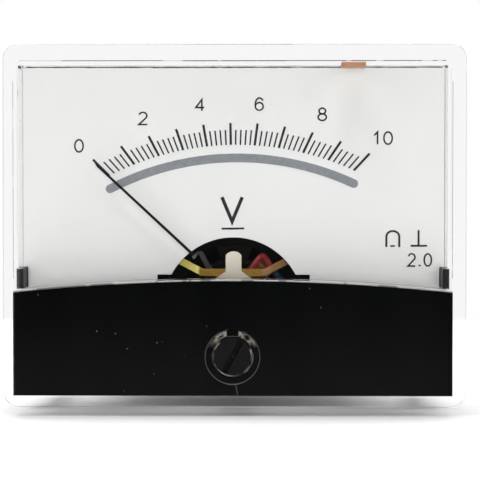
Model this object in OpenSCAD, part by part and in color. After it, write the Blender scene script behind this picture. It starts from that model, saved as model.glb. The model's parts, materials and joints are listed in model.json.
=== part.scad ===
// Moving-coil panel voltmeter, 60 x 47 mm front for a 38 mm panel hole.
// Millimetres, +Z up. The origin is on the axis of the barrel, in the plane
// of the panel: the front of the meter faces -Y and the barrel runs to +Y.

/* [Front] */
// Width of the clear flange that lies on the panel
flange_w = 60; // [58:0.5:64]
// Height of the clear flange
flange_h = 47; // [46:0.5:50]
// Thickness of the flange
flange_t = 2; // [1.6:0.1:2.4]
// Corner radius of the flange
flange_r = 1.9; // [1:0.1:3]
// Width of the flange's rim round the clear body
flange_rim = 2.7; // [2.2:0.1:3]
// Corner radius of the clear body
body_r = 0.8; // [0.4:0.1:1.4]
// Thickness of the body's side walls
wall_t = 0.5; // [0.4:0.05:0.7]
// Thickness of the window
window_t = 1.2; // [1:0.1:1.4]
// Distance from the panel to the face of the window
front_depth = 12; // [11.6:0.1:13.5]
// How far the barrel's axis lies below the middle of the flange
barrel_drop = 0.75; // [0:0.25:0.75]

/* [Apron] */
// Height of the black apron at its middle
apron_h = 14.2; // [13.4:0.1:15]
// How much lower the apron's top edge is at its ends
apron_rise = 1.4; // [0.8:0.1:2]
// Thickness of the apron
apron_t = 1.1; // [0.9:0.1:1.3]
// Height of the clear step left above the apron
apron_step = 0.35; // [0.2:0.05:0.5]
// How far the apron stands proud of the window
apron_proud = 0.3; // [0.1:0.05:0.4]
// Width of the adjuster's well in the apron
well_d = 6.7; // [6.2:0.1:7.4]
// Depth of the adjuster's well
well_depth = 0.5; // [0.3:0.05:0.6]
// Width of the index notch above the adjuster
notch_w = 1.4; // [1:0.1:1.8]

/* [Zero adjuster] */
// Distance of the adjuster's axis below the pointer's axis
zero_drop = 6.95; // [6.6:0.05:7.2]
// Diameter of the adjuster's head
zero_head_d = 5; // [4.6:0.1:5.4]
// Diameter of the adjuster's shank
zero_shank_d = 3.8; // [3.4:0.1:4]
// Distance of the eccentric pin from the adjuster's axis
zero_throw = 0.8; // [0.5:0.05:1]
// Diameter of the eccentric pin
zero_pin_d = 1; // [0.8:0.05:1.2]
// Width of the screwdriver slot
zero_slot_w = 0.75; // [0.6:0.05:1]
// Angle of the screwdriver slot from the vertical
zero_slot_angle = 28; // [0:1:90]

/* [Dial] */
// Distance from the panel to the face of the dial
dial_face = 6; // [5.6:0.1:6.6]
// Thickness of the dial
dial_t = 0.5; // [0.4:0.05:0.6]
// Distance of the pointer's axis below the middle of the flange
pivot_drop = 9.1; // [8.7:0.1:9.4]
// Radius of the round opening in the dial
opening_r = 8.95; // [8.7:0.05:9.4]
// Distance of the round opening's centre below the pointer's axis
opening_drop = 1.15; // [0.8:0.05:1.5]
// Width of the square notch under the round opening
opening_w = 19.4; // [18.6:0.2:21]
// Distance of the two dial screws from the middle
dial_screw_x = 17.5; // [16:0.25:19]

/* [Scale] */
// Angle between the first and the last mark
scale_span = 88.4; // [80:0.2:92]
// Number of large divisions
divisions = 10; // [5:1:12]
// Number of small divisions in each large one
small_divisions = 5; // [2:1:5]
// Lean of the printed scale, anticlockwise
print_lean = 1.25; // [0:0.05:2]
// Shift of the printed scale to the right
print_shift = 0.1; // [0:0.05:0.3]
// Distance from the pointer's axis to the middle of the inner ends of the marks
mark_inner = 19.55; // [18.8:0.05:20]
// Length of a large mark at the middle of the scale
mark_large = 2.8; // [2:0.1:3.2]
// Length of a small mark at the middle of the scale
mark_small = 1.9; // [1.2:0.1:2]
// Width of a large mark
mark_large_w = 0.3; // [0.2:0.02:0.36]
// Width of a small mark
mark_small_w = 0.19; // [0.12:0.01:0.24]
// Distance of the mark arcs' centre below the pointer's axis
arc_drop = 15.9; // [14:0.1:17]
// Distance from the pointer's axis to the middle of the grey band
band_middle = 17.9; // [17:0.05:18.3]
// Width of the grey band
band_w = 1.1; // [0.8:0.05:1.3]
// Thickness of the print
print_t = 0.04; // [0.02:0.01:0.08]

/* [Pointer] */
// Distance from the pointer's axis to the needle's tip
needle_tip = 24.55; // [23.5:0.05:25.5]
// Distance from the pointer's axis to the needle's root
needle_root = 7.5; // [7.3:0.05:7.7]
// Width of the needle
needle_w = 0.36; // [0.24:0.02:0.4]
// Clear distance between the needle and the dial
needle_gap = 1.4; // [1.2:0.1:1.7]
// Thickness of the sheet that the stem is pressed from
stem_t = 0.4; // [0.3:0.05:0.45]
// Width of the stem
stem_w = 0.65; // [0.5:0.05:0.8]

/* [Movement] */
// Diameter of the core magnet
core_d = 10; // [9.6:0.1:10.4]
// Length of the core magnet
core_len = 8; // [7.4:0.1:8.6]
// Bore of the yoke ring
yoke_bore = 13.5; // [13.3:0.1:14]
// Outer diameter of the yoke ring
yoke_d = 17.6; // [16.8:0.1:18]
// Length of the yoke ring
yoke_len = 7; // [6.4:0.1:7.4]
// Width of the moving coil's frame
coil_w = 2.6; // [2.2:0.1:2.7]
// Thickness of the winding and its frame
coil_build = 0.9; // [0.8:0.05:1]
// Thickness of the two bridges
bridge_t = 0.6; // [0.4:0.05:0.8]
// Thickness of the zero lever
lever_t = 0.4; // [0.3:0.05:0.5]
// Outer radius of the hairsprings
spring_r = 3.1; // [2.6:0.1:3.2]
// Turns of each hairspring
spring_turns = 3; // [2:0.5:4]

/* [Housing] */
// Outer diameter of the barrel
barrel_d = 37.6; // [37:0.1:37.8]
// Distance from the panel to the end of the barrel
barrel_len = 25; // [24:0.5:30]
// Wall of the barrel at its mouth
barrel_wall = 1.5; // [1.2:0.1:1.7]
// Thickness of the barrel's end
end_t = 2; // [1.6:0.1:2.6]
// Thickness of the plate that closes the clear body
plate_t = 1.6; // [1.2:0.1:1.8]
// Distance of the mounting studs from the sides of the clear body
stud_inset = 3.3; // [3.2:0.1:4]
// Diameter of the mounting studs
stud_d = 3; // [2.6:0.1:3.2]
// Length of the mounting studs behind the panel
stud_len = 12; // [8:0.5:16]
// Height of the side latches
latch_h = 2.4; // [2:0.1:3]

/* [Terminals] */
// Distance between the terminal studs
terminal_pitch = 19; // [18:0.5:20]
// Diameter of the terminal studs
terminal_d = 4; // [3.5:0.1:4.2]
// Length of the terminal studs behind the barrel
terminal_len = 8.5; // [7.6:0.1:10]
// Width across the flats of the terminal nuts
nut_af = 7; // [6.6:0.1:7.5]
// Thickness of a terminal nut
nut_t = 2.6; // [2.2:0.1:2.8]
// Thickness of a solder tag and of a washer
tag_t = 0.5; // [0.4:0.05:0.6]

/* [Hidden] */
$fn = 64;
wire_sides = 8;
fit = 0.1;        // gap between pieces that slip into each other
run = 0.05;       // radial clearance of a shaft that turns
screw_d = 1.6;    // small screws of the dial and the movement
screw_head_d = 2.8;
screw_head_t = 0.6;
big = 100;        // longer than any piece, for cuts

// Planes across the front
window_y = -front_depth;
cavity_y = window_y + window_t;
seat_y = window_y - apron_proud + apron_t;      // where the apron lies on the cover
wall_behind_apron = 1.2;
pad_y = seat_y + wall_behind_apron;
body_w = flange_w - 2 * flange_rim;
body_h = flange_h - 2 * flange_rim;
stud_pitch_x = body_w - 2 * stud_inset;
stud_pitch_z = body_h - 2 * stud_inset;
plate_w = body_w - 2 * (wall_t + fit);
plate_h = body_h - 2 * (wall_t + fit);
mid_z = barrel_drop;                            // middle of the flange
pivot_z = mid_z - pivot_drop;
zero_z = pivot_z - zero_drop;
floor_z = mid_z - body_h / 2;
apron_top = floor_z + apron_h;
latch_z = apron_top - apron_rise + apron_step + fit;
arch_r = (pow(body_w / 2, 2) + pow(apron_rise, 2)) / (2 * apron_rise);

// Planes of the movement, from the dial backwards
dial_back = -dial_face + dial_t;
lever_y = dial_back + fit;
bridge_y = lever_y + lever_t + fit;
bridge_back = bridge_y + bridge_t;
jewel_end = bridge_back + 0.2;
spring_h = 0.4;
spring_y = jewel_end + 0.35;
stem_y = spring_y + spring_h + 0.35;
needle_t = 0.3;
needle_y = -dial_face - needle_gap - needle_t;
coil_y = stem_y + stem_t + 0.5;
core_y = coil_y + coil_build + 0.4;
core_back = core_y + core_len;
coil_back = core_back + 0.4 + coil_build;
yoke_y = core_y + (core_len - yoke_len) / 2;
yoke_back = yoke_y + yoke_len;
holder_t = 0.8;
frame_y = yoke_back + holder_t;
frame_t = 2;
frame_back = frame_y + frame_t;
rear_spring_y = coil_back + 0.7;
rear_jewel_end = rear_spring_y + spring_h + 0.35;
rear_bridge_y = max(rear_jewel_end, frame_back) + 0.2;
rear_bridge_back = rear_bridge_y + bridge_t;
rear_jewel_len = 2.4;

// Barrel
barrel_r = barrel_d / 2;
mouth_r = barrel_r - barrel_wall;
shelf_wall = 3;
shelf_r = barrel_r - shelf_wall;
end_y = barrel_len - end_t;
boss_r = 2.2;
frame_screw_x = 13.2;
frame_screw_z = 6.5;
pillar_x = 10.5;
pillar_z = pivot_z + 6.6;
pillar_r = 1.7;
rear_post_x = 9;
window_r = 3.6;

// Moving coil
gap = 0.35;                                     // clearance of the coil to core and yoke
coil_in = core_d / 2 + gap;
coil_out = coil_in + coil_build;
cheek_angle = 20;
holder_r = yoke_bore / 2;
former_t = 0.2;
rest_angle = print_lean + scale_span / 2;
staff_r = 0.42;
pivot_r = 0.13;
pivot_len = 0.45;
collet_r = 0.8;
hub_r = 1.35;
jewel_screw_r = 1.1;
lever_ring_r = 2.3;

// ---------- helpers ----------

// A flat piece seen from the front: its outline, drawn in X and Z, from y0 to y1.
module sheet(y0, y1) {
    translate([0, y1, 0]) rotate([90, 0, 0]) linear_extrude(y1 - y0) children();
}

// A round piece along Y, from y0 to y1, at x and z.
module rod(r, y0, y1, x = 0, z = 0) {
    translate([x, y1, z]) rotate([90, 0, 0]) cylinder(r = r, h = y1 - y0);
}

// A turned piece along Y: points are [radius, y].
module turned(points, x = 0, z = 0) {
    translate([x, 0, z]) rotate([90, 0, 0]) rotate_extrude() polygon([for (p = points) [p[0], -p[1]]]);
}

// A rectangle with round corners, centred.
module round_rect(w, h, r) {
    square([w - 2 * r, h], center = true);
    square([w, h - 2 * r], center = true);
    for (sx = [-1, 1], sz = [-1, 1])
        translate([sx * (w / 2 - r), sz * (h / 2 - r)]) circle(r);
}

// A straight bar between two points of the plane, with round ends.
module bar(a, b, w) {
    d = b - a;
    length = norm(d);
    translate(a) rotate(atan2(d[1], d[0])) {
        translate([0, -w / 2]) square([length, w]);
        circle(w / 2);
        translate([length, 0]) circle(w / 2);
    }
}

// Both sides of the middle.
module both_sides() {
    for (side = [-1, 1]) scale([side, 1, 1]) children();
}

// A slotted screw along Y with its head in front of y.
module small_screw(x, y, z, length) {
    difference() {
        union() {
            rod(screw_head_d / 2, y - screw_head_t, y, x, z);
            rod(screw_d / 2, y, y + length, x, z);
        }
        translate([x, y - screw_head_t, z]) cube([big, 0.5, 0.4], center = true);
    }
}

// A hexagon nut along Y with chamfered corners.
module hex_nut(y, t, af, bore_r, x, z) {
    corner = af / sqrt(3);
    chamfer = 0.3;
    difference() {
        intersection() {
            translate([x, y + t, z]) rotate([90, 0, 0]) cylinder(r = corner, h = t, $fn = 6);
            turned([[0, y], [corner - chamfer, y], [corner, y + chamfer],
                    [corner, y + t - chamfer], [corner - chamfer, y + t], [0, y + t]], x, z);
        }
        rod(bore_r, y - 1, y + t + 1, x, z);
    }
}

// A spiral strip of n turns in the X-Z plane, from radius r0 to r1, starting at angle a0.
module spiral(r0, r1, n, w, a0) {
    steps = round(n * 20);
    at = function (i, off) let (a = a0 + 360 * n * i / steps, r = r0 + (r1 - r0) * i / steps + off)
        [r * sin(a), r * cos(a)];
    polygon([for (i = [0:steps]) at(i, -w / 2), for (i = [steps:-1:0]) at(i, w / 2)]);
}

// A round lead: a tube swept along a smooth curve through the points.
function curve_point(p, i, t) =
    let (a = p[max(i - 1, 0)], b = p[i], c = p[i + 1], d = p[min(i + 2, len(p) - 1)])
    0.5 * (2 * b + (c - a) * t + (2 * a - 5 * b + 4 * c - d) * t * t + (3 * b - a - 3 * c + d) * t * t * t);
function smooth(p, n) = concat(
    [for (i = [0:len(p) - 2], k = [0:n - 1]) curve_point(p, i, k / n)], [p[len(p) - 1]]);
function unit(v) = v / norm(v);
function side_of(t, near) = unit(near - (near * t) * t);
function tangents(p) = [for (i = [0:len(p) - 1]) unit(p[min(i + 1, len(p) - 1)] - p[max(i - 1, 0)])];
function carried(t, first) = [for (i = 0, s = side_of(t[0], first); i < len(t);
    i = i + 1, s = i < len(t) ? side_of(t[i], s) : s) s];
module lead(points, r, n = 3) {
    p = smooth(points, n);
    t = tangents(p);
    first = abs(t[0] * [0, 0, 1]) < 0.8 ? [0, 0, 1] : [1, 0, 0];
    s = carried(t, first);
    rings = [for (i = [0:len(p) - 1], k = [0:wire_sides - 1])
        let (a = 360 * k / wire_sides) p[i] + r * (cos(a) * s[i] + sin(a) * cross(t[i], s[i]))];
    last = (len(p) - 1) * wire_sides;
    polyhedron(rings, concat(
        [[for (k = [0:wire_sides - 1]) k]],
        [for (i = [0:len(p) - 2], k = [0:wire_sides - 1])
            let (a = i * wire_sides + k, b = i * wire_sides + (k + 1) % wire_sides)
            [b, a, a + wire_sides, b + wire_sides]],
        [[for (k = [wire_sides - 1:-1:0]) last + k]]));
}

// The moving element is drawn with its pointer up and turned to the zero mark.
module at_rest() {
    translate([0, 0, pivot_z]) rotate([0, -rest_angle, 0]) children();
}

module at_pivot() {
    translate([0, 0, pivot_z]) children();
}

module at_print() {
    translate([print_shift, 0, 0]) at_pivot() rotate([0, -print_lean, 0]) children();
}

// ---------- front ----------

// The area under the arched edge of the apron, as seen from the front.
arch_steps = 32;
module apron_area(edge, lift = 0) {
    half = body_w / 2 + edge;
    polygon(concat([[half, floor_z - edge], [-half, floor_z - edge]],
        [for (i = [0:arch_steps]) let (x = half * (2 * i / arch_steps - 1))
            [x, apron_top + lift - arch_r + sqrt(pow(arch_r, 2) - pow(x, 2))]]));
}

module front_cover() {
    color([0.93, 0.96, 0.97, 0.3]) difference() {
        union() {
            translate([0, 0, mid_z]) sheet(-flange_t, 0) round_rect(flange_w, flange_h, flange_r);
            translate([0, 0, mid_z]) sheet(window_y, 0) round_rect(body_w, body_h, body_r);
        }
        difference() {
            translate([0, 0, mid_z]) sheet(cavity_y, 1)
                square([body_w - 2 * wall_t, body_h - 2 * wall_t], center = true);
            sheet(cavity_y - 1, pad_y) apron_area(0, apron_step);
        }
        sheet(window_y - 1, seat_y) apron_area(1, apron_step);
        rod(zero_shank_d / 2 + run, window_y - 1, 0, 0, zero_z);
        both_sides() translate([body_w / 2 - wall_t - fit, -latch_reach - fit, latch_z - fit]) {
            cube([latch_barb + 2 * fit, latch_hook_len + 2 * fit, latch_h + 2 * fit]);
        }
        translate([seal_x, seal_y, mid_z + body_h / 2 - seal_sunk - seal_depth])
            cube([seal_w, seal_len, seal_depth + 1]);
    }
}

// Sealing compound in the slot where the cover is prised off.
seal_w = 3;
seal_x = 13.6;
seal_y = -11.4;
seal_len = 4.8;
seal_depth = wall_t + 0.1;
seal_sunk = 0.12;  // how far it lies below the top of the cover
module cover_seal() {
    color([0.72, 0.4, 0.2]) translate([seal_x, seal_y, mid_z + body_h / 2 - seal_sunk - seal_depth])
        cube([seal_w, seal_len, seal_depth]);
}

apron_edge = 0.1;
well_chamfer = 0.2;
module front_apron() {
    color([0.06, 0.06, 0.065]) difference() {
        sheet(window_y - apron_proud, seat_y) apron_area(apron_edge);
        turned([[0, window_y - 1], [well_d / 2 + well_chamfer + 1, window_y - 1],
                [well_d / 2 + well_chamfer, window_y - apron_proud],
                [well_d / 2, window_y - apron_proud + well_chamfer],
                [well_d / 2, window_y - apron_proud + well_depth],
                [zero_head_d / 2 + fit, window_y - apron_proud + well_depth],
                [zero_head_d / 2 + fit, 0], [0, 0]], 0, zero_z);
        translate([-notch_w / 2, window_y - 1, zero_z + zero_head_d / 2 - 0.2])
            cube([notch_w, 1 - apron_proud + well_depth + 0.3, well_d / 2 - zero_head_d / 2 + 0.2]);
    }
}

// ---------- zero adjuster ----------

zero_head_t = apron_t - apron_proud;
zero_slot_depth = 0.45;
module zero_screw() {
    head_y = seat_y - zero_head_t;
    chamfer = 0.15;
    color([0.07, 0.07, 0.075]) difference() {
        union() {
            turned([[0, head_y], [zero_head_d / 2 - chamfer, head_y],
                    [zero_head_d / 2, head_y + chamfer], [zero_head_d / 2, seat_y - run],
                    [zero_shank_d / 2, seat_y - run], [zero_shank_d / 2, pad_y + 1.2],
                    [0, pad_y + 1.2]], 0, zero_z);
            rod(zero_pin_d / 2, pad_y + 0.6, lever_y + lever_t + 0.4, 0, zero_z - zero_throw);
        }
        translate([0, head_y, zero_z]) rotate([0, zero_slot_angle, 0])
            cube([zero_slot_w, 2 * zero_slot_depth, zero_head_d - 0.5], center = true);
        turned([[zero_shank_d / 2 - 0.3, pad_y + 0.2], [zero_shank_d, pad_y + 0.2],
                [zero_shank_d, pad_y + 0.6], [zero_shank_d / 2 - 0.3, pad_y + 0.6]], 0, zero_z);
    }
}

module zero_clip() {
    color([0.75, 0.75, 0.76]) difference() {
        turned([[zero_shank_d / 2 - 0.3, pad_y + 0.25], [zero_shank_d / 2 + 1.1, pad_y + 0.2],
                [zero_shank_d / 2 + 1.1, pad_y + 0.45], [zero_shank_d / 2 - 0.3, pad_y + 0.55]], 0, zero_z);
        translate([-0.6, pad_y, zero_z]) cube([1.2, 1, big]);
    }
}

fork_end = zero_drop + zero_throw + 1.3;
fork_w = zero_pin_d + 2 * fit;
module zero_lever() {
    finger_w = 2;
    finger_top = 6;
    finger_root = 3.45;
    shoulder_w = 4.6;
    shoulder_z = 2.5;
    post_r = spring_r + 0.35;
    color([0.86, 0.84, 0.78]) at_pivot() difference() {
        union() {
            sheet(lever_y, lever_y + lever_t) difference() {
                union() {
                    circle(lever_ring_r);
                    translate([-finger_w / 2, 0]) square([finger_w, finger_top - finger_w / 3]);
                    intersection() {
                        translate([-finger_w / 2, 0]) square([finger_w, finger_top]);
                        translate([0, finger_top - finger_w * 0.62]) circle(finger_w * 0.62);
                    }
                    polygon([[-shoulder_w / 2, shoulder_z], [-finger_w / 2, finger_root],
                             [finger_w / 2, finger_root], [shoulder_w / 2, shoulder_z],
                             [lever_ring_r, 0], [-lever_ring_r, 0]]);
                    translate([-0.9, -zero_drop]) square([1.8, zero_drop]);
                    translate([-fork_w / 2 - 1, -fork_end]) square([fork_w + 2, fork_end - zero_drop + 1.2]);
                }
                translate([-fork_w / 2, -fork_end - 1]) square([fork_w, fork_end + 2 - zero_drop + zero_pin_d]);
            }
            rotate([0, 150, 0]) translate([-0.5, lever_y, lever_ring_r - 0.5])
                cube([1, lever_t, post_r + 0.2 - lever_ring_r + 0.5]);
            rotate([0, 150, 0]) translate([-0.5, lever_y, post_r - 0.2])
                cube([1, spring_y + spring_h - lever_y, 0.4]);
        }
        rod(jewel_screw_r + run, lever_y - 1, lever_y + lever_t + 0.01);
    }
}

module hairspring_at(y, w = 0.12) {
    at_pivot() sheet(y, y + spring_h)
        spiral(collet_r + 0.1 + w / 2, spring_r, spring_turns, w, 150);
}

module front_hairspring() {
    color([0.72, 0.5, 0.22]) hairspring_at(spring_y);
}

module rear_hairspring() {
    color([0.72, 0.5, 0.22]) hairspring_at(rear_spring_y);
}

// ---------- dial ----------

dial_edge = 0.1;   // gap above the dial
dial_side = 0.04;  // gap at each side of it
dial_low = pivot_z - 4.5;
module dial_plate() {
    top = mid_z + body_h / 2 - wall_t - dial_edge;
    width = body_w - 2 * (wall_t + dial_side);
    color([0.94, 0.94, 0.92]) sheet(-dial_face, dial_back) difference() {
        translate([-width / 2, dial_low]) square([width, top - dial_low]);
        translate([0, pivot_z - opening_drop]) circle(opening_r);
        translate([-opening_w / 2, dial_low - 1])
            square([opening_w, pivot_z - opening_drop + 4.2 - dial_low + 1]);
        both_sides() translate([dial_screw_x, dial_low + 2.2]) circle(screw_d / 2);
        both_sides() translate([plate_w / 2 - latch_t - fit, latch_z - fit])
            square([latch_t + 1, latch_h + 2 * fit]);
    }
}

// Distance from the pointer's axis, at an angle, to an arc whose centre lies below it.
function to_arc(angle, middle) =
    -arc_drop * cos(angle) + sqrt(pow(middle + arc_drop, 2) - pow(arc_drop * sin(angle), 2));

module scale_marks() {
    count = divisions * small_divisions;
    color([0.1, 0.1, 0.1]) at_print()
        sheet(-dial_face - print_t, -dial_face) for (i = [0:count]) {
            large = i % small_divisions == 0;
            angle = scale_span * (i / count - 0.5);
            inner = to_arc(angle, mark_inner);
            outer = to_arc(angle, mark_inner + (large ? mark_large : mark_small));
            width = large ? mark_large_w : mark_small_w;
            rotate(-angle) translate([-width / 2, inner]) square([width, outer - inner]);
        }
}

band_drop = 17.3;
band_angle = 26.1;
band_steps = 24;
module scale_band() {
    radius = band_middle + band_drop;
    arc = function (r, i) let (a = band_angle * (2 * i / band_steps - 1)) [r * sin(a), r * cos(a)];
    color([0.58, 0.59, 0.61]) at_print()
        translate([0, 0, -band_drop]) sheet(-dial_face - print_t, -dial_face) {
            polygon(concat([for (i = [0:band_steps]) arc(radius - band_w / 2, i)],
                           [for (i = [band_steps:-1:0]) arc(radius + band_w / 2, i)]));
            for (side = [-1, 1]) rotate(side * band_angle) translate([0, radius]) circle(band_w / 2);
        }
}

module dial_screws() {
    color([0.7, 0.7, 0.68]) for (side = [-1, 1])
        small_screw(side * dial_screw_x, -dial_face, dial_low + 2.2, 3);
}

// ---------- housing ----------

root = 0.2;        // small cone where a barrel or a stud leaves the panel face
latch_t = 0.45;
latch_barb = wall_t / 2;  // how far its barb stands in the wall of the cover
latch_hook_len = 1.4;
latch_reach = 10.4;
stud_head_r = 1.9;
stud_head_t = 1;
module rear_housing() {
    post_z = dial_low + 2.2;
    color([0.09, 0.09, 0.1]) difference() {
        union() {
            translate([0, 0, mid_z]) sheet(-plate_t, 0) square([plate_w, plate_h], center = true);
            turned([[0, 0], [barrel_r + root, 0], [barrel_r, root], [barrel_r, barrel_len - 0.5],
                    [barrel_r - 0.5, barrel_len], [0, barrel_len]]);
            both_sides() {
                rod(1.8, dial_back, -plate_t + 0.1, dial_screw_x, post_z);
                translate([plate_w / 2 - latch_t, -latch_reach, latch_z])
                    cube([latch_t, latch_reach, latch_h]);
                translate([plate_w / 2 - latch_t, -latch_reach, latch_z])
                    cube([latch_t + fit + latch_barb, latch_hook_len, latch_h]);
            }
            intersection() {
                translate([0, 0, mid_z]) sheet(-plate_t - 2, -0.2) square([plate_w, plate_h], center = true);
                for (sx = [-1, 1], sz = [-1, 1])
                    rod(stud_head_r + 0.8, -plate_t - 2, -0.2, sx * stud_pitch_x / 2,
                        mid_z + sz * stud_pitch_z / 2);
            }
        }
        difference() {
            turned([[0, -plate_t - 1], [mouth_r, -plate_t - 1], [mouth_r, frame_back],
                    [shelf_r, frame_back], [shelf_r, end_y], [0, end_y]]);
            for (side = [-1, 1])
                rod(boss_r, frame_back, barrel_len - 0.2, side * frame_screw_x, frame_screw_z);
        }
        for (side = [-1, 1]) {
            rod(screw_d / 2, frame_back - 1, frame_back + 5, side * frame_screw_x, frame_screw_z);
            rod(screw_d / 2, dial_back - 1, dial_back + 3.2, side * dial_screw_x, post_z);
            rod(terminal_d / 2 + run, end_y - 1, barrel_len + 1, side * terminal_pitch / 2, 0);
        }
        for (sx = [-1, 1], sz = [-1, 1]) {
            rod(stud_d / 2 + root, -plate_t - 1, 1, sx * stud_pitch_x / 2, mid_z + sz * stud_pitch_z / 2);
            rod(stud_head_r, -plate_t - 1.5, -plate_t - 0.5, sx * stud_pitch_x / 2,
                mid_z + sz * stud_pitch_z / 2);
        }
    }
}

module mounting_studs() {
    color([0.78, 0.7, 0.45]) for (sx = [-1, 1], sz = [-1, 1])
        turned([[0, -plate_t - 1.5], [stud_head_r, -plate_t - 1.5], [stud_head_r, -plate_t - 0.5],
                [stud_d / 2 + root, -plate_t - 0.5], [stud_d / 2 + root, 0], [stud_d / 2, root],
                [stud_d / 2, stud_len - 0.3],
                [stud_d / 2 - 0.3, stud_len], [0, stud_len]],
               sx * stud_pitch_x / 2, mid_z + sz * stud_pitch_z / 2);
}

module terminal_studs() {
    color([0.8, 0.66, 0.36]) both_sides()
        turned([[0, end_y - 1.2], [3.4, end_y - 1.2], [3.4, end_y], [terminal_d / 2, end_y],
                [terminal_d / 2, barrel_len + terminal_len - 0.4],
                [terminal_d / 2 - 0.4, barrel_len + terminal_len], [0, barrel_len + terminal_len]],
               terminal_pitch / 2, 0);
}

module terminal_washers() {
    color([0.78, 0.78, 0.76]) both_sides() difference() {
        rod(nut_af / 2 + 0.7, barrel_len, barrel_len + tag_t, terminal_pitch / 2, 0);
        rod(terminal_d / 2, barrel_len - 1, barrel_len + 1, terminal_pitch / 2, 0);
    }
}

first_nut_y = barrel_len + tag_t;
tag_y = first_nut_y + nut_t;
second_nut_y = tag_y + tag_t;
module terminal_nuts() {
    color([0.8, 0.68, 0.4]) both_sides() for (y = [first_nut_y, second_nut_y])
        hex_nut(y, nut_t, nut_af, terminal_d / 2, terminal_pitch / 2, 0);
}

module solder_tags() {
    length = 8;
    eye_r = 0.8;
    color([0.82, 0.82, 0.8]) both_sides() translate([terminal_pitch / 2, 0, 0])
        sheet(tag_y, tag_y + tag_t) difference() {
            union() {
                circle(nut_af / 2);
                translate([-1.5, 0]) square([3, length]);
                translate([0, length]) circle(1.5);
            }
            circle(terminal_d / 2);
            translate([0, length]) circle(eye_r);
        }
}

// ---------- fixed part of the movement ----------

module movement_frame() {
    color([0.1, 0.1, 0.11]) difference() {
        union() {
            rod(mouth_r - fit, frame_y, frame_back);
            both_sides() {
                rod(pillar_r, arm_back, frame_y + 0.1, pillar_x, pillar_z);
                rod(pillar_r, frame_back - 0.1, rear_bridge_y, rear_post_x, pivot_z);
            }
        }
        rod(holder_r + 0.25, frame_y - 1, frame_back + 1, 0, pivot_z);
        both_sides() {
            rod(screw_d / 2, arm_back - 1, arm_back + 3, pillar_x, pillar_z);
            rod(screw_d / 2, rear_bridge_y - 2.4, rear_bridge_y + 1, rear_post_x, pivot_z);
            rod(screw_d / 2 + fit, frame_y - 1, frame_back + 1, frame_screw_x, frame_screw_z);
            rod(2.1, frame_y - 1, frame_back + 1, lead_x, lead_z);
        }
        for (x = [-6.2, 0, 6.2])
            rod(2.4, frame_y - 1, frame_back + 1, x, 11.4 - abs(x) / 6);
    }
}

module frame_screws() {
    color([0.7, 0.7, 0.68]) both_sides() small_screw(frame_screw_x, frame_y, frame_screw_z, frame_t + 4);
}

// The two cheeks pass through the gap above and below the coil's sweep and grip the core.
module cheek(r0, r1, y0, y1) {
    reach = 2 * r1;
    sheet(y0, y1) for (half = [0, 180]) rotate(half) intersection() {
        difference() {
            circle(r1);
            circle(r0);
        }
        polygon([[0, 0], [-reach * sin(cheek_angle), reach * cos(cheek_angle)],
                 [reach * sin(cheek_angle), reach * cos(cheek_angle)]]);
    }
}

module core_holder() {
    color([0.38, 0.38, 0.28]) at_pivot() union() {
        cheek(core_d / 2, holder_r - run, core_y + 0.2, yoke_back + 0.1);
        cheek(core_d / 2, holder_r + 0.2, yoke_back, frame_y);
        difference() {
            rod(yoke_d / 2, yoke_back, frame_y);
            rod(holder_r, yoke_back - 1, frame_y + 1);
        }
    }
}

module core_magnet() {
    chamfer = 0.3;
    r = core_d / 2;
    color([0.45, 0.45, 0.47]) turned([[0, core_y], [r - chamfer, core_y], [r, core_y + chamfer],
        [r, core_back - chamfer], [r - chamfer, core_back], [0, core_back]], 0, pivot_z);
}

module yoke_ring() {
    color([0.6, 0.6, 0.58]) difference() {
        rod(yoke_d / 2, yoke_y, yoke_back, 0, pivot_z);
        rod(holder_r, yoke_y - 1, yoke_back + 1, 0, pivot_z);
    }
}

// Front bridge: a strap with a wide middle, whose two arms rise outwards and bend back.
arm_set_back = 1;
arm_back = bridge_back + arm_set_back;
bend_start = 4.8;
bend_end = 8;
module front_bridge() {
    lobe_top = 3.75;
    lobe_x = 4.4;
    lobe_low = 1.1;
    arm_w = 0.9;
    ring_r = 2.2;
    pad_r = pillar_r;
    color([0.82, 0.6, 0.22]) difference() {
        intersection() {
            at_pivot() union() {
                sheet(bridge_y, bridge_back)
                    polygon([[-lobe_x, lobe_top], [lobe_x, lobe_top], [lobe_x, lobe_top - arm_w],
                             [ring_r, lobe_top - 1.1 * arm_w], [ring_r - 0.4, -lobe_low],
                             [0.4 - ring_r, -lobe_low], [-ring_r, lobe_top - 1.1 * arm_w],
                             [-lobe_x, lobe_top - arm_w]]);
                rod(ring_r, bridge_y, bridge_back);
                both_sides() {
                    sheet(bridge_y, arm_back)
                        bar([lobe_x - 0.4, lobe_top - arm_w / 2], [pillar_x, pillar_z - pivot_z], arm_w);
                    rod(pad_r, bridge_y, arm_back, pillar_x, pillar_z - pivot_z);
                }
            }
            translate([0, 0, pivot_z - big / 2]) linear_extrude(big) polygon(concat(
                [[-big, bridge_y + arm_set_back], [-bend_end, bridge_y + arm_set_back],
                 [-bend_start, bridge_y], [bend_start, bridge_y],
                 [bend_end, bridge_y + arm_set_back], [big, bridge_y + arm_set_back]],
                [[big, arm_back], [bend_end, arm_back], [bend_start, bridge_back],
                 [-bend_start, bridge_back], [-bend_end, arm_back], [-big, arm_back]]));
        }
        rod(jewel_screw_r, bridge_y - 1, bridge_back + 1, 0, pivot_z);
        both_sides() rod(screw_d / 2, bridge_y - 2, arm_back + 1, pillar_x, pillar_z);
    }
}

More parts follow.
